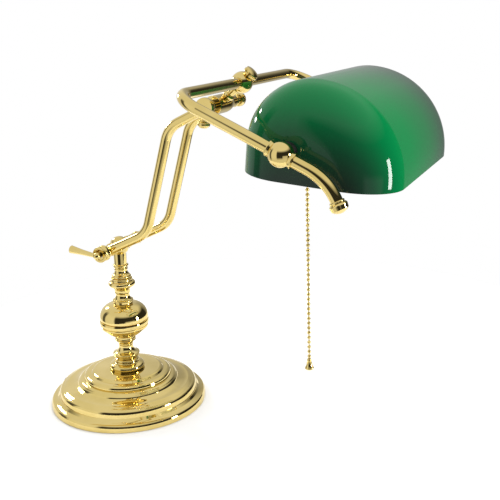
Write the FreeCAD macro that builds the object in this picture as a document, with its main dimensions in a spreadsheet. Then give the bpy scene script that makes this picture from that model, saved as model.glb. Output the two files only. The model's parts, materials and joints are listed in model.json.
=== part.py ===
"""Banker desk lamp: a parametric FreeCAD document, one labelled object per physical piece.

Millimetres, +Z up, origin at the centre of the base's underside. +X is the side that the arms and the
shade reach to, and Y runs along the shade and both friction barrels. Near means -Y and far means +Y.
"""
import FreeCAD, Part
import math
import os
import Sketcher
from FreeCAD import Placement, Rotation, Vector

SHEET = "Sizes"

SIZES = {
    # spun base, from the felt up
    "base_radius": 79.0, "rim_height": 7.0, "base_height": 34.0, "shell_wall": 1.6,
    "felt_thickness": 1.5, "weight_gap": 0.4, "weight_pocket": 6.5, "bush_radius": 2.6,
    # turned stem, stacked on the base
    "foot_height": 7.5, "foot_radius": 16.0, "baluster_height": 25.0, "baluster_neck": 7.6,
    "ball_height": 39.5, "ball_radius": 24.6, "neck_height": 15.5, "neck_radius": 8.0,
    "torus_height": 7.0, "torus_radius": 13.6, "capital_height": 22.5, "capital_radius": 6.3,
    "knuckle_height": 12.0, "rod_radius": 5.0, "rod_bore": 3.4, "rod_clearance": 0.3,
    # friction joints
    "joint_ball": 9.7, "bolt_radius": 3.0, "running_fit": 0.05, "face_gap": 0.2,
    "arm_spacing": 42.4, "eye_radius": 5.7, "eye_margin": 0.8,
    "lever_length": 30.0, "lever_rise": 8.5, "lever_end": 3.9, "cup_radius": 7.2,
    # bent tubes
    "tube_radius": 4.7, "tube_wall": 1.0, "arm_bend": 25.0, "arm_run": 49.9, "arm_middle": 105.5,
    "arm_upper_run": 46.7, "arm_angle": 24.9, "arm_turn": 48.9,
    "barrel_radius": 8.6, "link_length": 29.0, "link_angle": 40.8, "screw_cap": 7.0,
    "yoke_width": 253.2, "yoke_length": 94.7, "yoke_bend": 22.0, "yoke_drop": 25.4,
    "tail_straight": 12.0, "tail_bend": 45.0, "tail_turn": 40.0, "button_radius": 7.1,
    # glass shade: two quarter arcs over a straight skirt; the hinge is set from its back and its rim
    "shade_length": 225.0, "shade_back_radius": 51.5, "shade_front_radius": 73.5, "shade_skirt": 1.0,
    "hinge_back": 46.0, "hinge_height": 24.0, "shade_round": 38.0, "shade_nod": 5.5, "glass": 3.0,
    "nipple_radius": 4.9, "washer_radius": 7.4, "washer_thickness": 1.6, "nut_thickness": 3.6,
    # lampholder, bulb and pull switch
    "holder_radius": 17.0, "holder_length": 64.0, "bulb_radius": 22.5, "bulb_length": 54.0,
    "switch_inset": 32.1, "chain_pitch": 4.1, "bead_radius": 1.55, "chain_beads": 38,
}


class Size:
    """A length, ratio or angle that carries both its value and the spreadsheet formula behind it."""

    def __init__(self, value, text=None):
        self.value = float(value)
        self.text = text or repr(float(value))

    @staticmethod
    def of(other):
        return other if isinstance(other, Size) else Size(other)

    def join(self, sign, other, value):
        return Size(value, "(%s %s %s)" % (self.text, sign, other.text))

    def __add__(self, other):
        other = Size.of(other)
        return self.join("+", other, self.value + other.value)

    def __sub__(self, other):
        other = Size.of(other)
        return self.join("-", other, self.value - other.value)

    def __mul__(self, other):
        other = Size.of(other)
        return self.join("*", other, self.value * other.value)

    def __truediv__(self, other):
        other = Size.of(other)
        return self.join("/", other, self.value / other.value)

    def __rsub__(self, other):
        return Size.of(other) - self

    def __neg__(self):
        return Size(-self.value, "(-1 * %s)" % self.text)

    __radd__ = __add__
    __rmul__ = __mul__


def cosine(angle):
    return Size(math.cos(math.radians(angle.value)), "cos(%s * 1 deg)" % angle.text)


def sine(angle):
    return Size(math.sin(math.radians(angle.value)), "sin(%s * 1 deg)" % angle.text)


def tangent(angle):
    return Size(math.tan(math.radians(angle.value)), "tan(%s * 1 deg)" % angle.text)


def root(area):
    return Size(math.sqrt(area.value), "sqrt(%s)" % area.text)


doc = FreeCAD.newDocument("banker_desk_lamp")
sheet = doc.addObject("Spreadsheet::Sheet", SHEET)


def fill_sheet():
    for row, (name, value) in enumerate(SIZES.items(), start=1):
        sheet.set("A%d" % row, name)
        sheet.set("B%d" % row, str(value))
        sheet.setAlias("B%d" % row, name)
    doc.recompute()


def size(name):
    return Size(SIZES[name], "%s.%s" % (SHEET, name))


# ---------------------------------------------------------------- sketches and features

def origin_plane(body, role):
    return [feature for feature in body.Origin.OriginFeatures if feature.Role == role][0]


def new_sketch(body, name, plane, offset=(0, 0, 0)):
    sketch = body.newObject("Sketcher::SketchObject", name)
    sketch.AttachmentSupport = [(origin_plane(body, plane), "")]
    sketch.MapMode = "FlatFace"
    sketch.AttachmentOffset = Placement(Vector(*[Size.of(part).value for part in offset]), Rotation())
    for axis, part in zip("xyz", offset):
        if isinstance(part, Size):
            sketch.setExpression("AttachmentOffset.Base.%s" % axis, part.text)
    return sketch


def fix_point(sketch, geometry, end, across, up):
    """Pin one end of a sketch element to a place given by two sizes."""
    for kind, target, axis in (("DistanceX", across, -2), ("DistanceY", up, -1)):
        target = Size.of(target)
        if abs(target.value) < 1e-9:
            sketch.addConstraint(Sketcher.Constraint("PointOnObject", geometry, end, axis))
        else:
            number = sketch.addConstraint(Sketcher.Constraint(kind, -1, 1, geometry, end, target.value))
            sketch.setExpression("Constraints[%d]" % number, target.text)


def arc_points(start, finish, swell):
    """Middle point of the arc that leaves the chord by swell, to the right of the travel."""
    (x0, y0), (x1, y1) = start, finish
    length = math.hypot(x1 - x0, y1 - y0)
    return (x0 + x1) / 2 + (y1 - y0) / length * swell, (y0 + y1) / 2 - (x1 - x0) / length * swell


def arc_radius(start, finish, swell):
    dx = Size.of(finish[0]) - start[0]
    dy = Size.of(finish[1]) - start[1]
    swell = Size.of(swell)
    rise = swell if swell.value > 0 else -swell
    return (dx * dx + dy * dy) / 8 / rise + rise / 2


def draw(sketch, points, closed=True):
    """Chain of lines and arcs. A point is (across, up), or (across, up, swell) when an arc leads to it."""
    count = len(points)
    number = []
    for index in range(count if closed else count - 1):
        start = points[index]
        finish = points[(index + 1) % count]
        a = tuple(Size.of(part).value for part in start[:2])
        b = tuple(Size.of(part).value for part in finish[:2])
        if len(finish) == 3:
            swell = Size.of(finish[2])
            middle = arc_points(a, b, swell.value)
            curve = Part.Arc(Vector(*a, 0), Vector(*middle, 0), Vector(*b, 0))
            added = sketch.addGeometry(curve, False)
            radius = arc_radius(start, finish, swell)
            place = sketch.addConstraint(Sketcher.Constraint("Radius", added, radius.value))
            sketch.setExpression("Constraints[%d]" % place, radius.text)
            ends = (1, 2) if swell.value > 0 else (2, 1)
        else:
            added = sketch.addGeometry(Part.LineSegment(Vector(*a, 0), Vector(*b, 0)), False)
            ends = (1, 2)
        number.append((added, ends))
        fix_point(sketch, added, ends[0], start[0], start[1])
    if not closed:
        fix_point(sketch, number[-1][0], number[-1][1][1], points[-1][0], points[-1][1])
    for index in range(len(number) if closed else len(number) - 1):
        here, after = number[index], number[(index + 1) % len(number)]
        sketch.addConstraint(Sketcher.Constraint("Coincident", here[0], here[1][1], after[0], after[1][0]))
    return sketch


def backwards(points):
    """The same chain walked the other way, where each arc swells to the other hand."""
    result = []
    for index in reversed(range(len(points))):
        swell = points[index + 1][2:] if index + 1 < len(points) else ()
        result.append(points[index][:2] + tuple(-part for part in swell))
    return result


def ball_arc(centre, ball, start, finish):
    """Half outline of a ball on the turning axis, from radius start below to radius finish above."""
    ball, start, finish = Size.of(ball), Size.of(start), Size.of(finish)
    low = root(ball * ball - start * start)
    high = root(ball * ball - finish * finish)
    across = (start + finish) / 2
    up = (high - low) / 2
    swell = ball - root(across * across + up * up)
    return [(start, centre - low), (finish, centre + high, swell)]


def dome(radius, low, rise):
    """Half outline of a shallow cap from the given radius to the turning axis."""
    radius = Size.of(radius)
    chord = radius * radius + rise * rise
    curve = chord / (2 * rise)
    return [(radius, low), (0, low + rise, curve - root(curve * curve - chord / 4))]


def circle(sketch, radius, across=0, up=0):
    radius = Size.of(radius)
    centre = Vector(Size.of(across).value, Size.of(up).value, 0)
    added = sketch.addGeometry(Part.Circle(centre, Vector(0, 0, 1), radius.value), False)
    place = sketch.addConstraint(Sketcher.Constraint("Radius", added, radius.value))
    sketch.setExpression("Constraints[%d]" % place, radius.text)
    fix_point(sketch, added, 3, across, up)
    return sketch


def new_body(name):
    body = doc.addObject("PartDesign::Body", name)
    body.Label = name
    return body


def revolve(body, name, points, axis="V_Axis"):
    sketch = draw(new_sketch(body, name + "_outline", "XZ_Plane"), points)
    feature = body.newObject("PartDesign::Revolution", name + "_turned")
    feature.Profile = sketch
    feature.ReferenceAxis = (sketch, [axis])
    feature.Angle = 360.0
    return feature


def turned(name, points):
    """A piece turned in the lathe about its local Z, from a half outline of (radius, height) points."""
    body = new_body(name)
    revolve(body, name, points)
    return body


def ring(name, outer, inner, low, high):
    return turned(name, [(inner, low), (outer, low), (outer, high), (inner, high)])


def pad(body, name, plane, length, draw_profile, midplane=False, offset=(0, 0, 0), reverse=False):
    sketch = new_sketch(body, name + "_profile", plane, offset)
    draw_profile(sketch)
    feature = body.newObject("PartDesign::Pad", name + "_pad")
    feature.Profile = sketch
    feature.Midplane = midplane
    feature.Reversed = reverse
    length = Size.of(length)
    feature.Length = length.value
    feature.setExpression("Length", length.text)
    return feature


def pipe(body, name, route, start, radius, wall):
    """Hollow round tube along a flat route in the body's XZ plane, whose first run heads along +X."""
    path = draw(new_sketch(body, name + "_route", "XZ_Plane"), route, closed=False)
    section = new_sketch(body, name + "_section", "YZ_Plane", (0, 0, start))
    circle(section, radius)
    circle(section, Size.of(radius) - wall)
    feature = body.newObject("PartDesign::AdditivePipe", name + "_tube")
    feature.Profile = section
    feature.Spine = (path, ["Edge%d" % (edge + 1) for edge in range(len(route) - 1)])
    return feature


def cylinder(name, radius, height, place):
    tool = doc.addObject("Part::Cylinder", name)
    radius, height = Size.of(radius), Size.of(height)
    tool.Radius = radius.value
    tool.Height = height.value
    tool.setExpression("Radius", radius.text)
    tool.setExpression("Height", height.text)
    tool.Placement = place
    return tool


def cut(name, base, tools):
    """Subtract tools from a piece; the result takes the piece's place under its own label."""
    for number, tool in enumerate(tools):
        last = number == len(tools) - 1
        result = doc.addObject("Part::Cut", name if last else "%s_cut_%d" % (name, number + 1))
        result.Base = base
        result.Tool = tool
        base = result
    result.Label = name
    return result


# ---------------------------------------------------------------- frames of the lamp

def turn(axis, angle):
    return Rotation(Vector(*axis), angle)


def frame_along(z_way, x_way):
    """Rotation that sends local Z to z_way and local X as near as it can to x_way."""
    z = Vector(*z_way)
    x = Vector(*x_way)
    return Rotation(x, Vector(), z, "ZXY")


def put(piece, place, rotation=Rotation()):
    """Place a piece; each coordinate that is a size stays bound to the sheet."""
    places = [Size.of(part) for part in place]
    piece.Placement = Placement(Vector(*[part.value for part in places]), rotation)
    for axis, part in zip("xyz", places):
        if SHEET in part.text:
            piece.setExpression("Placement.Base.%s" % axis, part.text)
    return piece


NEAR = frame_along((0, -1, 0), (1, 0, 0))
FAR = frame_along((0, 1, 0), (1, 0, 0))

FOOT_BOTTOM = size("base_height")
BALUSTER_BOTTOM = FOOT_BOTTOM + size("foot_height")
BALL_BOTTOM = BALUSTER_BOTTOM + size("baluster_height")
NECK_BOTTOM = BALL_BOTTOM + size("ball_height")
TORUS_BOTTOM = NECK_BOTTOM + size("neck_height")
CAPITAL_BOTTOM = TORUS_BOTTOM + size("torus_height")
KNUCKLE_BOTTOM = CAPITAL_BOTTOM + size("capital_height")
PIVOT_HEIGHT = KNUCKLE_BOTTOM + size("knuckle_height")

ARM_TOP_ANGLE = size("arm_angle") + size("arm_turn")
ARM_REACH = (size("arm_run") + size("arm_upper_run")) * cosine(size("arm_angle"))
ARM_RISE = (size("arm_run") + size("arm_upper_run")) * sine(size("arm_angle"))
UPPER_X = ARM_REACH + size("arm_middle") * cosine(ARM_TOP_ANGLE)
UPPER_Z = PIVOT_HEIGHT + ARM_RISE + size("arm_middle") * sine(ARM_TOP_ANGLE)
CLAMP_X = UPPER_X + size("link_length") * cosine(size("link_angle"))
CLAMP_Z = UPPER_Z + size("link_length") * sine(size("link_angle"))
HINGE_X = CLAMP_X + size("yoke_length") * cosine(size("yoke_drop"))
HINGE_Z = CLAMP_Z - size("yoke_length") * sine(size("yoke_drop"))

EYE_WIDTH = (size("tube_radius") + size("eye_margin")) * 2
EYE_INNER = (size("arm_spacing") - EYE_WIDTH) / 2
EYE_OUTER = (size("arm_spacing") + EYE_WIDTH) / 2
BOLT_BORE = size("bolt_radius") + size("running_fit")
ROD_BORE = size("rod_radius") + size("rod_clearance")
HALF_YOKE = size("yoke_width") / 2
HALF_SHADE = size("shade_length") / 2
HOLDER_FACE = (HALF_SHADE - size("glass") - size("washer_thickness") - size("nut_thickness")
               - size("face_gap"))
SWITCH_PLACE = HOLDER_FACE - size("switch_inset")


# ---------------------------------------------------------------- base

def base_outline(drop=0):
    """Stepped outer face of the base from the rim to the flat top, moved in and down by drop.

    Moved copies give the inside of the spun shell and the face of the casting under it.
    """
    rim = size("base_radius") - drop
    edge = size("rim_height") - drop
    climb = (size("base_height") - size("rim_height")) / 27.0
    return [
        (rim, 3.0), (rim - 1.4, edge, 0.4), (rim - 6.5, edge + climb * 1.6, -0.3),
        (rim - 8.6, edge + climb * 3.6), (rim - 9.2, edge + climb * 8.2, 0.2),
        (rim - 13.0, edge + climb * 11.5, 0.8), (rim - 17.0, edge + climb * 12.8, 0.2),
        (rim - 27.5, edge + climb * 15.0, -0.6), (rim - 29.5, edge + climb * 17.6, 0.3),
        (rim - 33.0, edge + climb * 19.3, 0.5), (rim - 34.6, edge + climb * 19.5),
        (rim - 35.2, edge + climb * 22.3, 0.2), (rim - 39.0, edge + climb * 24.0, 0.5),
        (rim - 42.0, edge + climb * 24.2), (rim - 43.5, edge + climb * 25.8),
        (rim - 47.0, edge + climb * 26.6, 0.3), (rim - 60.0, edge + climb * 27.0)]


def base_pieces():
    wall = size("shell_wall")
    rim = size("base_radius")
    top = size("base_height")
    spun = turned("base_shell_spun", [(rim - wall, 0.3), (rim, 0.3)] + base_outline()
                  + [(ROD_BORE, top), (ROD_BORE, top - wall)] + backwards(base_outline(wall)))
    bush_height = size("felt_thickness") + size("bush_radius") + 0.4
    hole = cylinder("inlet_hole", size("bush_radius"), 8.0, Placement())
    put(hole, (-rim - 2.0, 0, bush_height), frame_along((1, 0, 0), (0, 0, 1)))
    cut("base_shell", spun, [hole])
    base_weight(bush_height)
    felt = rim - wall - 0.4
    turned("base_felt", [(0, 0), (felt, 0), (felt, size("felt_thickness")), (0, size("felt_thickness"))])
    bush(bush_height)


def base_weight(bush_height):
    """Cast iron ballast that fills the dome, with a pocket under it for the rod's nut and washer."""
    outline = base_outline(size("shell_wall") + size("weight_gap"))
    floor = size("felt_thickness") + 0.2
    roof = floor + size("weight_pocket")
    pocket = size("rod_radius") + 9.0
    casting = turned("base_weight_cast", [(pocket, floor), (outline[0][0], floor)] + outline
                     + [(ROD_BORE, outline[-1][1]), (ROD_BORE, roof), (pocket, roof)])
    channel = cylinder("cable_channel", size("bush_radius"), size("base_radius"), Placement())
    put(channel, (-size("base_radius"), 0, bush_height), frame_along((1, 0, 0), (0, 0, 1)))
    cut("base_weight", casting, [channel])


def bush(height):
    """Rubber cable inlet through the back of the rim, a shouldered tube."""
    outer = size("bush_radius") - 0.05
    bore = outer - 1.0
    wall = size("shell_wall")
    piece = turned("cable_inlet_bush", [
        (bore, -1.2), (outer + 0.7, -1.2), (outer + 0.9, -0.1, 0.3), (outer, -0.1), (outer, wall + 0.8),
        (bore, wall + 0.8)])
    put(piece, (-size("base_radius"), 0, height), frame_along((1, 0, 0), (0, 0, 1)))


# ---------------------------------------------------------------- stem

def stem_rod():
    """Threaded tube that pulls base, stem and knuckle together, with its washer and nut below."""
    seat = size("felt_thickness") + 0.2 + size("weight_pocket")
    nut = 4.0
    washer = 1.2
    rod_top = KNUCKLE_BOTTOM + 5.0
    rod_foot = seat - washer - nut
    ring("stem_rod", size("rod_radius"), size("rod_bore"), rod_foot, rod_top)
    ring("rod_washer", size("rod_radius") + 7.0, size("rod_radius") + 0.15, seat - washer, seat)
    body = new_body("rod_nut")

    def hexagon(sketch):
        corner = (size("rod_radius") + 3.0) / cosine(Size(30))
        half = corner / 2
        flat = size("rod_radius") + 3.0
        draw(sketch, [(corner, 0), (half, flat), (-half, flat), (-corner, 0), (-half, -flat),
                      (half, -flat)])
        circle(sketch, size("rod_radius") + 0.05)

    pad(body, "rod_nut", "XY_Plane", nut, hexagon)
    put(body, (0, 0, rod_foot))


def foot_collar():
    r = size("foot_radius")
    h = size("foot_height")
    put(turned("foot_collar", [
        (ROD_BORE, 0), (r + 1.2, 0), (r + 1.2, h * 0.12), (r, h * 0.7, 1.1), (r - 2.6, h * 0.84),
        (r - 4.2, h, -0.4), (ROD_BORE, h)]), (0, 0, FOOT_BOTTOM))


def lower_baluster():
    h = size("baluster_height")
    neck = size("baluster_neck")
    put(turned("lower_baluster", [
        (ROD_BORE, 0), (neck + 3.6, 0), (neck + 3.6, h * 0.12, 1.2), (neck + 2.4, h * 0.15),
        (neck + 3.2, h * 0.19), (neck + 5.8, h * 0.31, 0.5), (neck + 5.2, h * 0.37, 0.5),
        (neck, h * 0.74, -2.4), (neck + 1.6, h * 0.88, -0.4), (neck + 2.4, h * 0.89),
        (neck + 2.4, h * 0.94, 0.5), (neck + 2.0, h * 0.945), (neck + 2.8, h, 0.4), (ROD_BORE, h)]),
        (0, 0, BALL_BOTTOM - h))


def stem_ball():
    """Belted ball: a bowl, a small ledge, a raised belt between two grooves and a dome."""
    h = size("ball_height")
    r = size("ball_radius")
    put(turned("stem_ball", [
        (ROD_BORE, 0), (r - 15.0, 0), (r - 15.0, h * 0.04), (r - 12.2, h * 0.07),
        (r - 1.9, h * 0.29, 0.6), (r - 1.1, h * 0.295),
        (r - 0.4, h * 0.36, 0.3), (r - 1.1, h * 0.37), (r - 1.1, h * 0.385), (r, h * 0.395),
        (r, h * 0.50, 0.35), (r - 1.1, h * 0.51), (r - 1.1, h * 0.525), (r - 0.2, h * 0.535),
        (r - 12.4, h * 0.925, 4.0), (r - 14.9, h * 0.935), (r - 14.9, h), (ROD_BORE, h)]),
        (0, 0, BALL_BOTTOM))


def upper_neck():
    h = size("neck_height")
    r = size("neck_radius")
    put(turned("upper_neck", [
        (ROD_BORE, 0), (r + 2.2, 0), (r + 2.2, h * 0.08, 0.3), (r + 1.4, h * 0.10),
        (r, h * 0.58, -1.5), (r + 4.0, h, -1.3), (ROD_BORE, h)]), (0, 0, NECK_BOTTOM))


def torus_collar():
    h = size("torus_height")
    r = size("torus_radius") - 1.6
    put(turned("torus_collar", [
        (ROD_BORE, 0), (r, 0), (r, h * 0.74, 1.6), (r - 1.0, h * 0.78), (r - 1.6, h, -0.2),
        (ROD_BORE, h)]), (0, 0, TORUS_BOTTOM))


def stem_capital():
    h = size("capital_height")
    r = size("capital_radius")
    put(turned("stem_capital", [
        (ROD_BORE, 0), (r + 3.9, 0), (r + 3.9, h * 0.08, 0.7), (r + 2.7, h * 0.09),
        (r + 2.9, h * 0.20, 0.7), (r + 2.2, h * 0.21), (r + 2.2, h * 0.24), (r + 0.2, h * 0.46, -0.9),
        (r + 0.2, h * 0.52, 0.5), (r + 0.1, h * 0.53), (r + 0.1, h * 0.59, 0.4), (r + 0.4, h * 0.60),
        (r + 0.4, h * 0.70, 1.1), (r, h * 0.72), (r, h), (ROD_BORE, h)]), (0, 0, CAPITAL_BOTTOM))


def knuckle():
    """Ball on top of the stem, with flats for the arm spacers and a cross bore for the pivot bolt."""
    ball = size("joint_ball")
    centre = size("knuckle_height")
    r = size("capital_radius")
    socket = 5.2
    blank = turned("knuckle_blank", [(ROD_BORE, 0), (r, 0)] + ball_arc(centre, ball, r, 0)
                   + [(0, socket), (ROD_BORE, socket)])
    put(blank, (0, 0, KNUCKLE_BOTTOM))
    bore = cylinder("knuckle_bore", BOLT_BORE, size("arm_spacing"), Placement())
    put(bore, (0, -size("arm_spacing") / 2, PIVOT_HEIGHT), FAR)
    flat = ball - 1.2
    sides = []
    for name, rotation, side in (("near", NEAR, -1), ("far", FAR, 1)):
        tool = cylinder("knuckle_flat_" + name, ball, ball, Placement())
        sides.append(put(tool, (0, flat * side, PIVOT_HEIGHT), rotation))
    cut("stem_knuckle", blank, [bore] + sides)


# ---------------------------------------------------------------- arms and their barrels

def barrel_stack(prefix, x, z, pieces):
    """Turned pieces threaded on one barrel axis; each is (name, side rotation, outline)."""
    for name, rotation, points in pieces:
        put(turned(prefix + name, points), (x, 0, z), rotation)


def lower_barrel():
    start = size("joint_ball") - 1.2 + size("face_gap")
    bore = size("bolt_radius") + 0.02
    eye = EYE_INNER
    out = EYE_OUTER
    spacer = [(bore, start), (4.6, start), (5.2, start + 1.4, -0.2), (5.2, start + 2.6),
              (6.3, start + 3.4, 0.2), (6.3, eye), (bore, eye)]
    bell = [(bore, out), (7.3, out), (7.5, out + 1.6, 0.3), (5.0, out + 4.6, -0.6), (4.6, out + 5.2),
            (bore, out + 5.2)]
    rim = size("cup_radius")
    cup = [(bore, out + 5.2), (4.6, out + 5.2), (rim - 0.6, out + 6.8, -0.5), (rim, out + 7.6, 0.2),
           (rim, out + 9.0, 0.5), (rim - 1.4, out + 9.0), (rim - 2.2, out + 7.9, 0.3),
           (bore, out + 7.4)]
    tail = [(bore, out), (5.4, out), (5.4, out + 3.0, 0.5), (4.4, out + 3.4), (4.4, out + 6.0),
            (bore, out + 6.0)]
    nut = [(bore, out + 6.0), (6.2, out + 6.0), (6.4, out + 7.4, 0.2)] + dome(5.8, out + 10.4, 1.8) + [
        (0, out + 10.2), (bore, out + 10.2)]
    barrel_stack("lower_", Size(0), PIVOT_HEIGHT, [
        ("spacer_near", NEAR, spacer), ("spacer_far", FAR, spacer), ("bell_washer", NEAR, bell),
        ("cup_washer", NEAR, cup), ("far_sleeve", FAR, tail), ("cap_nut", FAR, nut)])
    bolt_start = -(out + 7.0)
    put(turned("lower_pivot_bolt", [(0, bolt_start), (size("bolt_radius"), bolt_start),
                                    (size("bolt_radius"), out + 9.8), (0, out + 9.8)]),
        (0, 0, PIVOT_HEIGHT), FAR)


def lower_lever():
    """Clamp lever: a ball on a short shank and a handle that grows towards its flat end."""
    ball = 3.6
    shank = 2.4
    seat = EYE_OUTER + 7.4 + 0.3
    body = new_body("lower_clamp_lever")
    revolve(body, "lower_clamp_hub", [(0, -ball - 1.6), (shank, -ball - 1.6)]
            + ball_arc(Size(0), ball, shank, 0))
    length = size("lever_length")
    end = size("lever_end")
    outline = draw(new_sketch(body, "lever_handle_outline", "XZ_Plane"), [
        (0.5, 0), (length, 0), (length, end - 0.4), (length - 0.5, end), (length - 12.0, end - 1.1),
        (0.5, 1.9)])
    feature = body.newObject("PartDesign::Revolution", "lever_handle_turned")
    feature.Profile = outline
    feature.ReferenceAxis = (outline, ["H_Axis"])
    feature.Angle = 360.0
    rise = math.radians(SIZES["lever_rise"])
    put(body, (0, -(seat + ball + 1.6), PIVOT_HEIGHT),
        frame_along((0, -1, 0), (-math.cos(rise), 0, math.sin(rise))))


def arm_tube(name, side):
    """S-bent tube in a plane across Y, with a drilled eye brazed on each end."""
    body = new_body(name)
    turn_angle = size("arm_turn")
    setback = size("arm_bend") * tangent(turn_angle / 2)
    c, s = cosine(turn_angle), sine(turn_angle)
    run, middle, upper = size("arm_run"), size("arm_middle"), size("arm_upper_run")
    start = size("eye_radius") - 1.2
    corner = (run + middle * c, middle * s)
    swell = size("arm_bend") * (1 - cosine(turn_angle / 2))
    route = [
        (start, 0), (run - setback, 0), (run + setback * c, setback * s, swell),
        (corner[0] - setback * c, corner[1] - setback * s),
        (corner[0] + setback, corner[1], -swell), (corner[0] + upper - start, corner[1])]
    pipe(body, name, route, start, size("tube_radius"), size("tube_wall"))
    for place, across, up in (("lower", 0, 0), ("upper", corner[0] + upper, corner[1])):
        def eye(sketch):
            circle(sketch, size("eye_radius"), across, up)
            circle(sketch, size("bolt_radius") + 0.02, across, up)
        pad(body, "%s_%s_eye" % (name, place), "XZ_Plane", EYE_WIDTH, eye, midplane=True)
    put(body, (0, size("arm_spacing") / 2 * side, PIVOT_HEIGHT), turn((0, 1, 0), -SIZES["arm_angle"]))


def upper_barrel():
    """Middle of the upper joint, turned about Y, with a spot face and hole for the link's tenon."""
    half = EYE_INNER - size("face_gap")
    r = size("barrel_radius")
    blank = turned("upper_barrel_blank", [
        (BOLT_BORE, -half), (r - 0.4, -half), (r, 0.4 - half), (r, 1.6), (r - 0.7, 1.9), (r - 0.7, 2.5),
        (r, 2.8), (r, 3.6), (r - 1.6, half, 0.5), (BOLT_BORE, half)])
    put(blank, (UPPER_X, 0, UPPER_Z), FAR)
    angle = math.radians(SIZES["link_angle"])
    way = (math.cos(angle), 0, math.sin(angle))
    across = frame_along(way, (0, 1, 0))
    face = r - 0.9
    tools = []
    for label, radius, near in (("spot_face", Size(4.6), face), ("tenon_hole", Size(2.6), face - 3.0)):
        tool = cylinder("upper_barrel_" + label, radius, 10.0, Placement())
        tools.append(put(tool, (UPPER_X + near * way[0], 0, UPPER_Z + near * way[2]), across))
    cut("upper_barrel", blank, tools)
    link_clamp(face, across, way)


def link_clamp(face, across, way):
    """Neck with a bead and the ball that grips the yoke's back bar, turned about the link's axis."""
    ball = size("joint_ball")
    reach = size("link_length")
    crown = 4.35
    grip = ball_arc(reach, ball, 4.2, crown)
    top = grip[1][1] - reach
    blank = turned("link_clamp_blank", [
        (0, face - 2.8), (2.55, face - 2.8), (2.55, face), (4.3, face), (4.3, face + 1.0, 0.3),
        (3.4, face + 1.4), (3.4, face + 6.4, 2.2), (3.4, face + 7.0)] + grip + [(0, reach + top)])
    put(blank, (UPPER_X, 0, UPPER_Z), across)
    bar = cylinder("link_clamp_bar_hole", size("tube_radius") + size("running_fit"), 40.0, Placement())
    put(bar, (CLAMP_X, -20, CLAMP_Z), FAR)
    screw = cylinder("link_clamp_screw_hole", 2.55, 20.0, Placement())
    start = size("tube_radius")
    put(screw, (CLAMP_X + start * way[0], 0, CLAMP_Z + start * way[2]), across)
    cut("link_clamp", blank, [bar, screw])
    cap = size("screw_cap")
    tip = size("tube_radius") + size("face_gap") + 0.1
    seat = top + 0.3
    screw_body = turned("clamp_screw", [
        (0, tip), (2.5, tip), (2.5, seat), (4.3, seat), (4.3, seat + 0.8, 0.2), (cap - 0.8, seat + 1.2),
        (cap, seat + 2.2, 0.3), (cap, seat + 3.0), (cap - 0.9, seat + 3.4), (cap - 0.9, seat + 3.8),
        (cap - 0.4, seat + 4.1)] + dome(cap - 0.5, seat + 4.9, 1.3))
    put(screw_body, (CLAMP_X, 0, CLAMP_Z), across)


def upper_ends():
    bore = size("bolt_radius") + 0.02
    out = EYE_OUTER
    sleeve = [(bore, out), (5.6, out), (5.6, out + 2.4, 0.5), (4.5, out + 3.0), (4.5, out + 10.0),
              (bore, out + 10.0)]
    cap = [(bore, out + 10.0), (5.0, out + 10.0), (6.3, out + 11.4, 0.4), (6.6, out + 15.4, 0.3),
           (4.4, out + 17.4, 0.6), (0, out + 17.4), (0, out + 14.6), (bore, out + 14.6)]
    barrel_stack("upper_", UPPER_X, UPPER_Z, [("far_sleeve", FAR, sleeve), ("far_cap", FAR, cap)])
    put(turned("upper_pivot_bolt", [(0, -out - 2.6), (size("bolt_radius"), -out - 2.6),
                                    (size("bolt_radius"), out + 14.2), (0, out + 14.2)]),
        (UPPER_X, 0, UPPER_Z), FAR)


def upper_lever():
    """Flat hub on the near end of the upper barrel, with a short neck and a button to turn it by."""
    body = new_body("upper_clamp_lever")
    out = EYE_OUTER + size("face_gap")
    hub = 8.5
    revolve(body, "upper_clamp_hub", [
        (0, out + 3.2), (size("bolt_radius") + 0.3, out + 3.2), (size("bolt_radius") + 0.3, out),
        (6.4, out), (hub, out + 1.8, 0.4), (hub, out + 6.0, 0.2), (hub - 0.5, out + 6.5), (0, out + 6.5)])
    height = out + 3.6
    button = 5.4
    outline = draw(new_sketch(body, "upper_lever_outline", "XZ_Plane"), [
        (hub - 1.4, height), (hub - 1.4, height + 2.3), (hub + 2.6, height + 2.1),
        (hub + 2.6, height + 3.6), (hub + 3.8, height + 3.6, -0.3), (hub + 4.2, height + button - 1.0),
        (hub + 5.4, height + button, -0.4), (hub + 8.2, height + button - 1.0, -0.7),
        (hub + 9.4, height + 2.0, -0.5), (hub + 9.6, height)])
    axis = outline.addGeometry(Part.LineSegment(Vector(0, height.value, 0), Vector(40, height.value, 0)),
                               True)
    fix_point(outline, axis, 1, 0, height)
    fix_point(outline, axis, 2, 40.0, height)
    feature = body.newObject("PartDesign::Revolution", "upper_lever_turned")
    feature.Profile = outline
    feature.ReferenceAxis = (outline, ["Axis0"])
    feature.Angle = 360.0
    put(body, (UPPER_X, 0, UPPER_Z), frame_along((0, -1, 0), (-0.12, 0, -1)))


# ---------------------------------------------------------------- yoke

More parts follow.
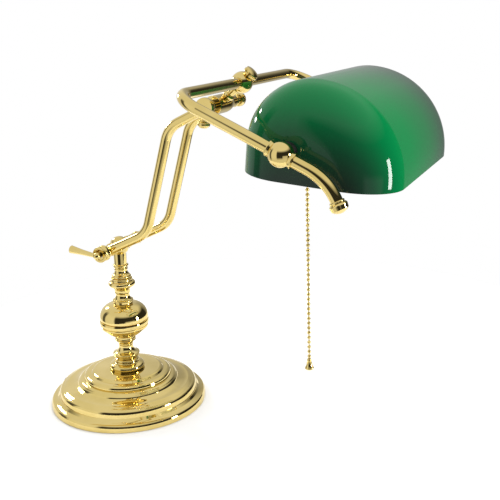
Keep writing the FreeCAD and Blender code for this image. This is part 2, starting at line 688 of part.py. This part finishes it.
def yoke_tube():
    """U-bent tube: back bar across the lamp and two arms that end inside the side balls."""
    body = new_body("yoke_tube")
    bend = size("yoke_bend")
    swell = bend * (1 - math.cos(math.radians(45)))
    reach = size("yoke_length") - 4.0
    half = HALF_YOKE
    path = draw(new_sketch(body, "yoke_route", "XY_Plane"), [
        (reach, -half), (bend, -half), (0, bend - half, -swell), (0, half - bend),
        (bend, half, -swell), (reach, half)], closed=False)
    section = new_sketch(body, "yoke_section", "YZ_Plane", (-half, 0, reach))
    circle(section, size("tube_radius"))
    circle(section, size("tube_radius") - size("tube_wall"))
    feature = body.newObject("PartDesign::AdditivePipe", "yoke_bent")
    feature.Profile = section
    feature.Spine = (path, ["Edge%d" % number for number in range(1, 6)])
    put(body, (CLAMP_X, 0, CLAMP_Z), turn((0, 1, 0), SIZES["yoke_drop"]))


def side_pieces(side_name, side):
    """Everything on one end of the yoke: ball, tail, button, nipple, washers and clamp nut."""
    drop = turn((0, 1, 0), SIZES["yoke_drop"])
    along = (math.cos(math.radians(SIZES["yoke_drop"])), 0, -math.sin(math.radians(SIZES["yoke_drop"])))
    outward = FAR if side > 0 else NEAR
    centre = (HINGE_X, HALF_YOKE * side, HINGE_Z)
    side_ball(side_name, side, centre, along)
    tail(side_name, centre, drop)
    nipple = size("nipple_radius")
    inner_face = HALF_SHADE - size("glass")
    tip = HALF_YOKE - size("tube_radius") - 0.4
    # the near nipple is long, because the lampholder hangs on it
    depth = 11.0 if side < 0 else 7.0
    ring("shade_nipple_" + side_name, nipple, nipple - 1.6, inner_face - depth, tip)
    put(doc.getObject("shade_nipple_" + side_name), (HINGE_X, 0, HINGE_Z), outward)
    hole = nipple + 0.1
    ball_face = HALF_YOKE - size("joint_ball") + 1.0
    washer = size("washer_radius")
    nut_face = inner_face - size("washer_thickness")
    pieces = [
        ("outer_washer_", washer, HALF_SHADE, ball_face - size("face_gap")),
        ("inner_washer_", washer, nut_face, inner_face),
        ("clamp_nut_", washer - 0.2, nut_face - size("nut_thickness"), nut_face)]
    for label, radius, low, high in pieces:
        piece = ring(label + side_name, radius, hole, low, high)
        put(piece, (HINGE_X, 0, HINGE_Z), outward)


def side_ball(side_name, side, centre, along):
    """Ball on the yoke's end: sockets for tube and tail along the arm, and one for the nipple."""
    ball = size("joint_ball")
    neck = size("tube_radius") + 1.0
    reach = ball + 1.0
    collar = neck + 0.4
    blank = turned("side_ball_%s_blank" % side_name, [
        (0, -reach), (collar, -reach), (collar, 1.4 - reach, 0.2)] + ball_arc(Size(0), ball, neck, neck)
        + [(collar, reach - 1.4), (collar, reach, 0.2), (0, reach)])
    put(blank, centre, frame_along(along, (0, 1, 0)))
    tools = []
    for label, sign in (("tube", -1), ("tail", 1)):
        tool = cylinder("side_ball_%s_%s_socket" % (side_name, label), size("tube_radius") + 0.02, 30.0,
                        Placement())
        way = tuple(sign * part for part in along)
        place = (centre[0] + 3.9 * way[0], centre[1], centre[2] + 3.9 * way[2])
        tools.append(put(tool, place, frame_along(way, (0, 1, 0))))
    inward = NEAR if side > 0 else FAR
    socket = cylinder("side_ball_%s_nipple_socket" % side_name, size("nipple_radius") + 0.05, 20.0,
                      Placement())
    depth = HALF_YOKE - size("tube_radius") - 0.3
    tools.append(put(socket, (HINGE_X, depth * side, HINGE_Z), inward))
    flat = cylinder("side_ball_%s_flat" % side_name, ball, 10.0, Placement())
    tools.append(put(flat, (HINGE_X, (HALF_YOKE - ball + 1.0) * side, HINGE_Z), inward))
    cut("side_ball_" + side_name, blank, tools)


def tail(side_name, centre, drop):
    """Curved end of the yoke, below the ball, with its flattened button."""
    body = new_body("tail_" + side_name)
    start = Size(4.0)
    straight = size("joint_ball") + size("tail_straight")
    bend = size("tail_bend")
    angle = size("tail_turn")
    end = (straight + bend * sine(angle), -(bend * (1 - cosine(angle))))
    swell = bend * (1 - cosine(angle / 2))
    route = [(start, 0), (straight, 0), end + (-swell,)]
    pipe(body, "tail_" + side_name, route, start, size("tube_radius"), size("tube_wall"))
    put(body, centre, drop)
    r = size("button_radius")
    button = turned("tail_button_" + side_name, [
        (0, -2.5), (size("tube_radius") - size("tube_wall") - 0.3, -2.5),
        (size("tube_radius") - size("tube_wall") - 0.3, 0), (size("tube_radius") + 0.5, 0),
        (size("tube_radius") + 0.9, 1.2, 0.3), (r - 1.5, 1.8), (r - 0.2, 3.4, 0.3)]
        + dome(r - 0.6, 6.4, 3.0))
    world = math.radians(SIZES["yoke_drop"])
    swing = math.radians(SIZES["yoke_drop"] + SIZES["tail_turn"])
    across, up = end
    place = (centre[0] + across * math.cos(world) + up * math.sin(world), centre[1],
             centre[2] - across * math.sin(world) + up * math.cos(world))
    put(button, place, frame_along((math.cos(swing), 0, -math.sin(swing)), (0, 1, 0)))


# ---------------------------------------------------------------- shade

def shade_half(name, inset):
    """Vault of the shade: the section pulled along Y, its end edges rounded, pulled in by inset."""
    back_radius = size("shade_back_radius") - inset
    front_radius = size("shade_front_radius") - inset
    crown = size("shade_back_radius") - size("hinge_back")
    floor = -size("hinge_height")
    spring = floor + size("shade_skirt")
    top = spring + front_radius
    if inset.value > 0:
        floor = floor - 5.0
    half = HALF_SHADE - inset
    quarter = 1 - math.cos(math.radians(45))
    body = new_body(name)

    def section(sketch):
        draw(sketch, [
            (crown - back_radius, floor), (crown - back_radius, top - back_radius),
            (crown, top, -(back_radius * quarter)), (crown + front_radius, spring, -(front_radius * quarter)),
            (crown + front_radius, floor)])

    feature = pad(body, name, "XZ_Plane", half * 2, section, midplane=True)
    doc.recompute()
    edges = []
    for number, edge in enumerate(feature.Shape.Edges, start=1):
        box = edge.BoundBox
        flat = box.YMax - box.YMin < 0.01
        if flat and box.ZMax > floor.value + 1.0:
            edges.append("Edge%d" % number)
    rounded = body.newObject("PartDesign::Fillet", name + "_rounded")
    rounded.Base = (feature, edges)
    radius = size("shade_round") - inset
    rounded.Radius = radius.value
    rounded.setExpression("Radius", radius.text)
    put(body, (HINGE_X, 0, HINGE_Z), turn((0, 1, 0), SIZES["shade_nod"]))
    return body


def shade_glass():
    """Blown glass shade: the outer vault less the inner one, drilled for the two nipples."""
    outer = shade_half("shade_outer", Size(0))
    inner = shade_half("shade_inner", size("glass"))
    hole = cylinder("shade_nipple_holes", size("nipple_radius") + 0.3, size("shade_length") + 20.0,
                    Placement())
    put(hole, (HINGE_X, -(HALF_SHADE + 10.0), HINGE_Z), FAR)
    cut("glass_shade", outer, [inner, hole])


# ---------------------------------------------------------------- lampholder, bulb and chain

def lampholder():
    """Pull-switch lampholder on the near nipple, its axis along Y."""
    r = size("holder_radius")
    hole = size("nipple_radius") + 0.1
    place = (HINGE_X, -HOLDER_FACE, HINGE_Z)
    put(turned("lampholder_cap", [
        (hole, 0), (hole + 4.0, 0), (r - 0.6, 7.0, 2.0), (r - 0.6, 15.0), (r - 2.2, 15.0),
        (r - 2.2, 7.6), (hole + 4.0, 1.6, -1.7), (hole, 1.6)]), place, FAR)
    start = 15.2
    end = size("holder_length")
    shell = turned("lampholder_shell_turned", [
        (r - 1.5, start), (r, start), (r, start + 2.0, 0.3), (r - 0.4, start + 2.4),
        (r - 0.4, end - 2.0), (r, end - 1.6), (r, end, 0.3), (r - 1.5, end)])
    put(shell, place, FAR)
    slot = cylinder("lampholder_shell_slot", 4.3, 30.0, Placement())
    put(slot, (HINGE_X, -SWITCH_PLACE, HINGE_Z - 30.0))
    cut("lampholder_shell", shell, [slot])
    lampholder_core(place, start, end)


def lampholder_core(place, start, end):
    """Insulating body: a switch block with a hole for the pull rod, and a socket for the bulb."""
    r = size("holder_radius") - 1.7
    block = size("switch_inset") + 8.0
    core = turned("lampholder_core_moulded", [
        (0, start + 0.4), (r, start + 0.4), (r, block), (14.6, block + 0.2), (14.6, end - 3.0),
        (13.7, end - 3.0), (13.7, block - 2.0), (0, block - 2.0)])
    put(core, place, FAR)
    hole = cylinder("pull_rod_hole", 1.5, 30.0, Placement())
    put(hole, (HINGE_X, -SWITCH_PLACE, HINGE_Z - 30.0))
    cut("lampholder_core", core, [hole])
    floor = block - 2.0
    put(turned("centre_contact", [(0, floor), (3.0, floor)] + dome(3.0, floor + 0.8, 0.6)), place, FAR)
    pull_switch()
    bulb(floor + 1.6, place)


def pull_switch():
    """Bell outlet under the lampholder, and the rod and bead chain that slide down through it."""
    r = size("holder_radius")
    place = (HINGE_X, -SWITCH_PLACE, HINGE_Z)
    put(turned("switch_outlet_bell", [
        (2.2, -r - 7.5), (3.6, -r - 7.5), (4.2, -r - 6.4, 0.2), (3.0, -r - 3.0, -0.4), (4.0, -r - 2.0),
        (4.0, 1.6 - r), (2.2, 1.6 - r)]), place)
    top = -r - 5.0
    put(turned("pull_rod", [(0, top), (1.2, top), (1.2, -4.0), (0, -4.0)]), place)
    bead = size("bead_radius")
    pitch = size("chain_pitch")
    wire = 0.45
    body = new_body("pull_chain")
    revolve(body, "chain_link", [(0, top - pitch), (wire, top - pitch)]
            + ball_arc(top - pitch / 2, bead, wire, wire) + [(wire, top), (0, top)])
    link = body.Tip
    pattern = body.newObject("PartDesign::LinearPattern", "chain_run")
    pattern.Originals = [link]
    pattern.Direction = (origin_plane(body, "Z_Axis"), [""])
    pattern.Reversed = True
    pattern.Occurrences = SIZES["chain_beads"]
    spread = pitch * (SIZES["chain_beads"] - 1)
    pattern.Length = spread.value
    pattern.setExpression("Length", spread.text)
    body.Tip = pattern
    put(body, place)
    end = top - pitch * SIZES["chain_beads"]
    put(turned("chain_pendant", [
        (0, end - 9.4), (2.6, end - 9.4), (3.5, end - 7.4, 0.6), (2.2, end - 3.2, -0.3),
        (1.2, end - 2.4), (1.9, end - 1.7, 0.2), (1.4, end, 0.2), (0, end)]), place)


def bulb(start, place):
    """Small round bulb: screw cap in the holder and a thin glass globe with a tapering neck."""
    put(turned("bulb_cap", [
        (0, start), (4.5, start), (5.0, start + 2.0), (11.0, start + 4.0), (13.1, start + 6.0),
        (13.1, start + 20.0), (12.0, start + 22.0), (0, start + 22.0)]), place, FAR)
    neck = start + 22.0
    wall = 0.8
    r = size("bulb_radius")
    centre = neck + size("bulb_length") - r
    outer = ball_arc(centre, r, 14.0, 0)
    inner = ball_arc(centre, r - wall, 14.0 - wall, 0)
    put(turned("bulb_glass", [(11.2, neck), (12.0, neck), (12.4, neck + 3.0)] + outer
               + backwards([(12.4 - wall, neck + 3.0)] + inner)), place, FAR)


# ---------------------------------------------------------------- checks and export

NODES = [
    "base_shell", "base_weight", "base_felt", "cable_inlet_bush", "stem_rod", "rod_washer", "rod_nut",
    "foot_collar", "lower_baluster", "stem_ball", "upper_neck", "torus_collar", "stem_capital",
    "stem_knuckle", "lower_spacer_near", "lower_spacer_far", "lower_bell_washer", "lower_cup_washer",
    "lower_far_sleeve", "lower_cap_nut", "lower_pivot_bolt", "lower_clamp_lever", "arm_tube_near",
    "arm_tube_far", "upper_barrel", "link_clamp", "clamp_screw", "upper_far_sleeve", "upper_far_cap",
    "upper_pivot_bolt", "upper_clamp_lever", "yoke_tube", "side_ball_near", "side_ball_far",
    "tail_near", "tail_far", "tail_button_near", "tail_button_far", "shade_nipple_near",
    "shade_nipple_far", "outer_washer_near", "outer_washer_far", "inner_washer_near",
    "inner_washer_far", "clamp_nut_near", "clamp_nut_far", "glass_shade", "lampholder_cap",
    "lampholder_shell", "lampholder_core", "centre_contact", "switch_outlet_bell", "pull_rod", "pull_chain",
    "chain_pendant", "bulb_cap", "bulb_glass",
]


def build():
    fill_sheet()
    base_pieces()
    stem_rod()
    for piece in (foot_collar, lower_baluster, stem_ball, upper_neck, torus_collar, stem_capital, knuckle):
        piece()
    lower_barrel()
    lower_lever()
    arm_tube("arm_tube_near", -1)
    arm_tube("arm_tube_far", 1)
    upper_barrel()
    upper_ends()
    upper_lever()
    yoke_tube()
    side_pieces("near", -1)
    side_pieces("far", 1)
    shade_glass()
    lampholder()
    doc.recompute()


def export():
    failed = [item.Name for item in doc.Objects
              if "Invalid" in item.State or "Error" in item.State]
    if failed:
        raise RuntimeError("not recomputed: " + ", ".join(failed))
    os.makedirs("parts", exist_ok=True)
    pieces = {name: doc.getObject(name) for name in NODES}
    for name, piece in sorted(pieces.items()):
        shape = piece.Shape
        if shape.isNull() or not shape.isValid():
            raise RuntimeError("bad shape: " + name)
        shape.exportStep("parts/%s.step" % name)
        print("%-22s %d solid %10.1f mm3" % (name, len(shape.Solids), shape.Volume))


build()
export()
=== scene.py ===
"""Looks of the banker desk lamp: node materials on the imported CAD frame, a studio and the camera.

Metres, +Z up, origin at the centre of the base's underside. The shade's long side runs along Y.
"""
import json
import math

import bpy
from mathutils import Matrix, Vector


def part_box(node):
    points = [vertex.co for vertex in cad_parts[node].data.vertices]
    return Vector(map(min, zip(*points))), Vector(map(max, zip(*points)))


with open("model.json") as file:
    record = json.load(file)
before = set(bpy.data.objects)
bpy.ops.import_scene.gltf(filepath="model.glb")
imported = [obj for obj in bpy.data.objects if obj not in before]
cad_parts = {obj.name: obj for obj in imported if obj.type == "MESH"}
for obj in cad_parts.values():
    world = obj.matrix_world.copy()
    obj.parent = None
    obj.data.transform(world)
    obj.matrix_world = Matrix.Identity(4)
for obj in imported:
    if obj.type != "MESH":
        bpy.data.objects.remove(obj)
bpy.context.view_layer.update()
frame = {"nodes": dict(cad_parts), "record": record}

# camera: the point it looks at, then where it stands round that point (degrees and metres)
AIM = Vector((0.120, 0.0, 0.200))
AZIMUTH = 25.57
ELEVATION = 13.56
DISTANCE = 0.76067
ROLL = 2.02
SENSOR_WIDTH = 36.0
LENS = 59.3
SHIFT = (0.0456, -0.0642)

# floor: a disc just under the felt
FLOOR_RADIUS = 0.42
FLOOR_CENTRE = (0.10, 0.12)
FLOOR_HEIGHT = -0.0002

# glass: its green, darkened on the end walls by painted shade from the crown down to their foot
GLASS_CROWN = 0.333
GLASS_DROP = 0.081
GREEN_AND_PAINTED_SHADE = [(0.0, (0.001, 0.18, 0.046)), (0.40, (0.001, 0.125, 0.034)),
          (0.75, (0.006, 0.050, 0.021)), (0.95, (0.012, 0.024, 0.017))]
OPAL = (0.82, 0.84, 0.78)

# glass: a painted grey reflection that covers the green toward the far end, and where along Y it
# lies
PAINTED_REFLECTION_GREY = (0.040, 0.060, 0.048)
PAINTED_REFLECTION_BEFORE_MIDDLE = 0.06
PAINTED_REFLECTION_SPAN = 0.16
PAINTED_REFLECTION_COVER = [(0.10, 0.0), (0.50, 0.36), (0.85, 0.92)]

# room: what the camera sees, what lights softly, and what polished pieces mirror.
# A turn of 0.0 is toward -X, 0.25 toward -Y, 0.5 toward +X and 0.75 toward +Y.
SEEN = (1.0, 1.0, 1.0)
SOFT = (0.92, 0.92, 0.92)
WALLS = [(0.00, 0.80), (0.015, 0.12), (0.055, 0.10), (0.075, 0.90), (0.195, 0.90), (0.22, 0.03),
         (0.69, 0.03), (0.72, 0.20), (0.75, 0.36), (0.81, 0.48), (0.85, 0.85), (1.00, 0.80)]
CEILING = (0.85, 0.85, 0.84)
CEILING_RISE = [(0.42, 0.0), (0.68, 1.0)]
TABLE = [(0.34, 0.0), (0.365, 0.62), (0.465, 0.70), (0.49, 0.0)]
TABLE_DIP = [(0.02, 0.0), (0.14, 1.0)]
GROUND = (0.80, 0.80, 0.78)
GROUND_DIP = [(0.30, 0.0), (0.60, 1.0)]
LAMP_HEART = (0.2, 0.0, 0.25)

# the Mix node's sockets for colours
MIX_FACTOR, MIX_FIRST, MIX_SECOND, MIX_RESULT = 0, 6, 7, 2


# ---------------------------------------------------------------- node helpers

def new_material(name):
    """A node material with only its Principled shader, ready for its inputs."""
    material = bpy.data.materials.new(name)
    material.use_nodes = True
    shader = material.node_tree.nodes["Principled BSDF"]
    return material.node_tree, shader, material


def noise(tree, scale, detail=4.0, stretch=None):
    """Noise in the part's own coordinates; stretch draws it out along an axis."""
    node = tree.nodes.new("ShaderNodeTexNoise")
    node.inputs["Scale"].default_value = scale
    node.inputs["Detail"].default_value = detail
    source = tree.nodes.new("ShaderNodeTexCoord").outputs["Object"]
    if stretch:
        mapping = tree.nodes.new("ShaderNodeMapping")
        mapping.inputs["Scale"].default_value = stretch
        tree.links.new(source, mapping.inputs["Vector"])
        source = mapping.outputs["Vector"]
    tree.links.new(source, node.inputs["Vector"])
    return node.outputs["Fac"]


def ramp(tree, factor, stops):
    """Colour ramp through (place, colour) stops; a plain number makes a grey."""
    node = tree.nodes.new("ShaderNodeValToRGB")
    elements = node.color_ramp.elements
    while len(elements) < len(stops):
        elements.new(0.5)
    for element, (place, colour) in zip(elements, stops):
        element.position = place
        element.color = (colour,) * 3 + (1,) if isinstance(colour, float) else colour + (1,)
    tree.links.new(factor, node.inputs["Fac"])
    return node.outputs["Color"]


def feed(tree, socket, factor, stops):
    """Drive a shader's input with a ramp of the factor."""
    tree.links.new(ramp(tree, factor, stops), socket)


def maths(tree, operation, first, second=0.0):
    """Math node; each value is a number or another node's output."""
    node = tree.nodes.new("ShaderNodeMath")
    node.operation = operation
    for socket, value in zip(node.inputs, (first, second)):
        if isinstance(value, (int, float)):
            socket.default_value = value
        else:
            tree.links.new(value, socket)
    return node.outputs["Value"]


def bump(tree, shader, height, strength, distance):
    """Fine surface on a shader; distance is in metres."""
    node = tree.nodes.new("ShaderNodeBump")
    node.inputs["Strength"].default_value = strength
    node.inputs["Distance"].default_value = distance
    tree.links.new(height, node.inputs["Height"])
    tree.links.new(node.outputs["Normal"], shader.inputs["Normal"])


def mix(tree, factor, first, second):
    """Blend of two colours; each is a tuple or another node's output."""
    node = tree.nodes.new("ShaderNodeMix")
    node.data_type = "RGBA"
    for place, value in ((MIX_FACTOR, factor), (MIX_FIRST, first), (MIX_SECOND, second)):
        if isinstance(value, tuple):
            node.inputs[place].default_value = value + (1,)
        else:
            tree.links.new(value, node.inputs[place])
    return node.outputs[MIX_RESULT]


# ---------------------------------------------------------------- materials

def polished_brass(name, bright, deep, smooth, rough):
    """Polished and lacquered brass: a faint cloudy tint, and wiped marks in gloss and surface."""
    tree, shader, material = new_material(name)
    shader.inputs["Metallic"].default_value = 1.0
    feed(tree, shader.inputs["Base Color"], noise(tree, 38.0), [(0.35, deep), (0.65, bright)])
    feed(tree, shader.inputs["Roughness"], noise(tree, 90.0, 6.0), [(0.3, smooth), (0.75, rough)])
    shader.inputs["Coat Weight"].default_value = 0.08
    shader.inputs["Coat Roughness"].default_value = 0.03
    bump(tree, shader, noise(tree, 260.0, 2.0), 0.05, 0.0001)
    return material


def cased_glass(name, centre):
    """Cased glass: white opal on the side that faces the centre, green on the other, with painted
    shade and a painted reflection on the green.
    """
    tree, shader, material = new_material(name)
    coords = tree.nodes.new("ShaderNodeTexCoord")
    away = tree.nodes.new("ShaderNodeVectorMath")
    away.operation = "SUBTRACT"
    away.inputs[1].default_value = centre
    tree.links.new(coords.outputs["Object"], away.inputs[0])
    facing = tree.nodes.new("ShaderNodeVectorMath")
    facing.operation = "DOT_PRODUCT"
    tree.links.new(away.outputs["Vector"], facing.inputs[0])
    tree.links.new(coords.outputs["Normal"], facing.inputs[1])
    outside = maths(tree, "GREATER_THAN", facing.outputs["Value"], 0.0)
    split = tree.nodes.new("ShaderNodeSeparateXYZ")
    tree.links.new(coords.outputs["Object"], split.inputs["Vector"])
    turned = tree.nodes.new("ShaderNodeSeparateXYZ")
    tree.links.new(coords.outputs["Normal"], turned.inputs["Vector"])
    # painted shade: walls facing along Y turn darker green from the crown down to the rim
    wall = maths(tree, "ABSOLUTE", turned.outputs["Y"])
    fall = maths(tree, "SUBTRACT", GLASS_CROWN, split.outputs["Z"])
    low = maths(tree, "DIVIDE", fall, GLASS_DROP)
    share = maths(tree, "ADD", 0.30, maths(tree, "MULTIPLY", low, 0.70))
    end_wall_painted_shade = maths(tree, "MULTIPLY", wall, share)
    streaks = maths(tree, "SUBTRACT", noise(tree, 9.0, 3.0, (1.0, 0.25, 1.0)), 0.5)
    streaks_and_painted_shade = maths(tree, "ADD", end_wall_painted_shade, maths(tree, "MULTIPLY", streaks, 0.25))
    # painted reflection: the green turns grey along Y toward the far end
    along = maths(tree, "ADD", split.outputs["Y"], PAINTED_REFLECTION_BEFORE_MIDDLE)
    painted_reflection = ramp(tree, maths(tree, "DIVIDE", along, PAINTED_REFLECTION_SPAN), PAINTED_REFLECTION_COVER)
    green = mix(tree, painted_reflection, ramp(tree, streaks_and_painted_shade, GREEN_AND_PAINTED_SHADE), PAINTED_REFLECTION_GREY)
    tree.links.new(mix(tree, outside, OPAL, green), shader.inputs["Base Color"])
    feed(tree, shader.inputs["Roughness"], noise(tree, 60.0), [(0.3, 0.03), (0.8, 0.07)])
    shader.inputs["IOR"].default_value = 1.48
    shader.inputs["Specular IOR Level"].default_value = 0.26
    bump(tree, shader, noise(tree, 14.0, 1.0), 0.06, 0.0006)
    return material


def opal_bulb(name):
    tree, shader, material = new_material(name)
    feed(tree, shader.inputs["Base Color"], noise(tree, 30.0),
         [(0.3, (0.88, 0.88, 0.84)), (0.7, (0.94, 0.94, 0.92))])
    feed(tree, shader.inputs["Roughness"], noise(tree, 120.0), [(0.3, 0.18), (0.7, 0.28)])
    shader.inputs["Coat Weight"].default_value = 0.4
    return material


def cast_iron(name):
    tree, shader, material = new_material(name)
    grain = noise(tree, 400.0, 8.0)
    feed(tree, shader.inputs["Base Color"], grain,
         [(0.3, (0.03, 0.028, 0.026)), (0.7, (0.09, 0.08, 0.07))])
    feed(tree, shader.inputs["Roughness"], grain, [(0.3, 0.6), (0.7, 0.85)])
    shader.inputs["Metallic"].default_value = 0.6
    bump(tree, shader, grain, 0.5, 0.0005)
    return material


def felt(name):
    tree, shader, material = new_material(name)
    fibre = noise(tree, 900.0, 6.0)
    feed(tree, shader.inputs["Base Color"], fibre,
         [(0.3, (0.004, 0.03, 0.014)), (0.7, (0.02, 0.11, 0.05))])
    feed(tree, shader.inputs["Roughness"], fibre, [(0.3, 0.85), (0.7, 1.0)])
    shader.inputs["Sheen Weight"].default_value = 0.5
    bump(tree, shader, fibre, 0.8, 0.0004)
    return material


def plain_part(name, dark, light, rough, metallic=0.0):
    """Small moulded or turned part: two close shades, uneven gloss and a fine surface."""
    tree, shader, material = new_material(name)
    shader.inputs["Metallic"].default_value = metallic
    grain = noise(tree, 220.0, 5.0)
    feed(tree, shader.inputs["Base Color"], grain, [(0.3, dark), (0.7, light)])
    feed(tree, shader.inputs["Roughness"], grain, [(0.3, rough * 0.8), (0.7, rough * 1.2)])
    bump(tree, shader, grain, 0.15, 0.0002)
    return material


def dress(nodes, record):
    """Give each CAD node the material of its slot in the record."""
    low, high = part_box("glass_shade")
    centre = ((low.x + high.x) / 2, 0.0, low.z + (high.z - low.z) * 0.3)
    slots = {
        "brass": polished_brass("polished_brass", (0.82, 0.645, 0.25), (0.75, 0.58, 0.20),
                                0.03, 0.07),
        "green_glass": cased_glass("green_cased_glass", centre),
        "bulb_glass": opal_bulb("opal_bulb_glass"),
        "cast_iron": cast_iron("cast_iron"),
        "felt": felt("base_felt"),
        "rubber": plain_part("black_rubber", (0.010, 0.010, 0.010), (0.022, 0.022, 0.021), 0.5),
        "insulator": plain_part("moulded_insulator", (0.012, 0.010, 0.009), (0.03, 0.026, 0.022),
                                0.35),
        "bulb_cap": plain_part("bulb_cap_aluminium", (0.62, 0.62, 0.61), (0.78, 0.78, 0.77), 0.3,
                               metallic=1.0),
        "steel": plain_part("turned_steel", (0.42, 0.42, 0.42), (0.58, 0.57, 0.56), 0.25,
                            metallic=1.0),
    }
    for part in record["subparts"]:
        mesh = nodes[part["node"]].data
        mesh.materials.clear()
        mesh.materials.append(slots[part["material_slot"]])


# ---------------------------------------------------------------- studio and camera

def floor():
    bpy.ops.mesh.primitive_circle_add(vertices=128, radius=FLOOR_RADIUS, fill_type="NGON",
                                      location=FLOOR_CENTRE + (FLOOR_HEIGHT,))
    disc = bpy.context.object
    disc.name = "floor"
    tree, shader, material = new_material("pale_floor")
    feed(tree, shader.inputs["Base Color"], noise(tree, 3.0), [(0.3, 0.86), (0.7, 0.88)])
    shader.inputs["Roughness"].default_value = 0.9
    disc.data.materials.append(material)


def hang(name, light, place, aim, mirrored=True):
    """Put a light at its place, turned to its aim, unseen by the camera and mirrored or not."""
    item = bpy.data.objects.new(name, light)
    item.location = place
    item.rotation_mode = "QUATERNION"
    item.rotation_quaternion = (Vector(aim) - Vector(place)).to_track_quat("-Z", "Y")
    item.visible_camera = False
    item.visible_glossy = mirrored
    bpy.context.scene.collection.objects.link(item)


def softbox(name, place, aim, width, height, power):
    light = bpy.data.lights.new(name, "AREA")
    light.shape = "RECTANGLE"
    light.size = width
    light.size_y = height
    light.energy = power
    hang(name, light, place, aim)


def studio():
    """Pale room: white to the camera, even for soft light, with dark and bright walls to mirror."""
    world = bpy.data.worlds.new("studio")
    bpy.context.scene.world = world
    world.use_nodes = True
    tree = world.node_tree
    background = tree.nodes["Background"]
    split = tree.nodes.new("ShaderNodeSeparateXYZ")
    direction = tree.nodes.new("ShaderNodeTexCoord").outputs["Generated"]
    tree.links.new(direction, split.inputs["Vector"])
    heading = maths(tree, "ARCTAN2", split.outputs["Y"], split.outputs["X"])
    turn = maths(tree, "ADD", maths(tree, "DIVIDE", heading, 2 * math.pi), 0.5)
    overhead = ramp(tree, split.outputs["Z"], CEILING_RISE)
    upper = mix(tree, overhead, ramp(tree, turn, WALLS), CEILING)
    dip = maths(tree, "MULTIPLY", split.outputs["Z"], -1.0)
    front = maths(tree, "MULTIPLY", ramp(tree, turn, TABLE), ramp(tree, dip, TABLE_DIP))
    level = maths(tree, "MAXIMUM", upper, front)
    mirrored = mix(tree, ramp(tree, dip, GROUND_DIP), level, GROUND)
    rays = tree.nodes.new("ShaderNodeLightPath").outputs
    room = mix(tree, rays["Is Glossy Ray"], SOFT, mirrored)
    tree.links.new(mix(tree, rays["Is Camera Ray"], room, SEEN), background.inputs["Color"])
    sun = bpy.data.lights.new("top_light", "SUN")
    sun.energy = 1.5
    sun.angle = math.radians(60.0)
    hang("top_light", sun, (0.45, 0.10, 0.90), (0.0, 0.0, 0.0), mirrored=False)
    softbox("strip", (1.50, 0.17, 0.18), LAMP_HEART, 0.22, 0.56, 11.0)
    softbox("window", (-0.90, 0.42, 0.62), LAMP_HEART, 0.16, 0.22, 3.0)


def camera():
    """Stand the camera at its place round the aim point, rolled a little about its own axis."""
    azimuth = math.radians(AZIMUTH)
    elevation = math.radians(ELEVATION)
    back = Vector((math.sin(azimuth) * math.cos(elevation),
                   -math.cos(azimuth) * math.cos(elevation),
                   math.sin(elevation)))
    data = bpy.data.cameras.new("camera")
    data.sensor_width = SENSOR_WIDTH
    data.lens = LENS
    data.shift_x, data.shift_y = SHIFT
    data.dof.use_dof = False
    data.clip_start = 0.01
    data.clip_end = 50.0
    item = bpy.data.objects.new("camera", data)
    look = (-back).to_track_quat("-Z", "Y").to_matrix().to_4x4()
    roll = Matrix.Rotation(-math.radians(ROLL), 4, "Z")
    item.matrix_world = Matrix.Translation(AIM + back * DISTANCE) @ look @ roll
    bpy.context.scene.collection.objects.link(item)
    bpy.context.scene.camera = item


bpy.context.scene.view_settings.view_transform = "Standard"
dress(frame["nodes"], frame["record"])
floor()
studio()
camera()
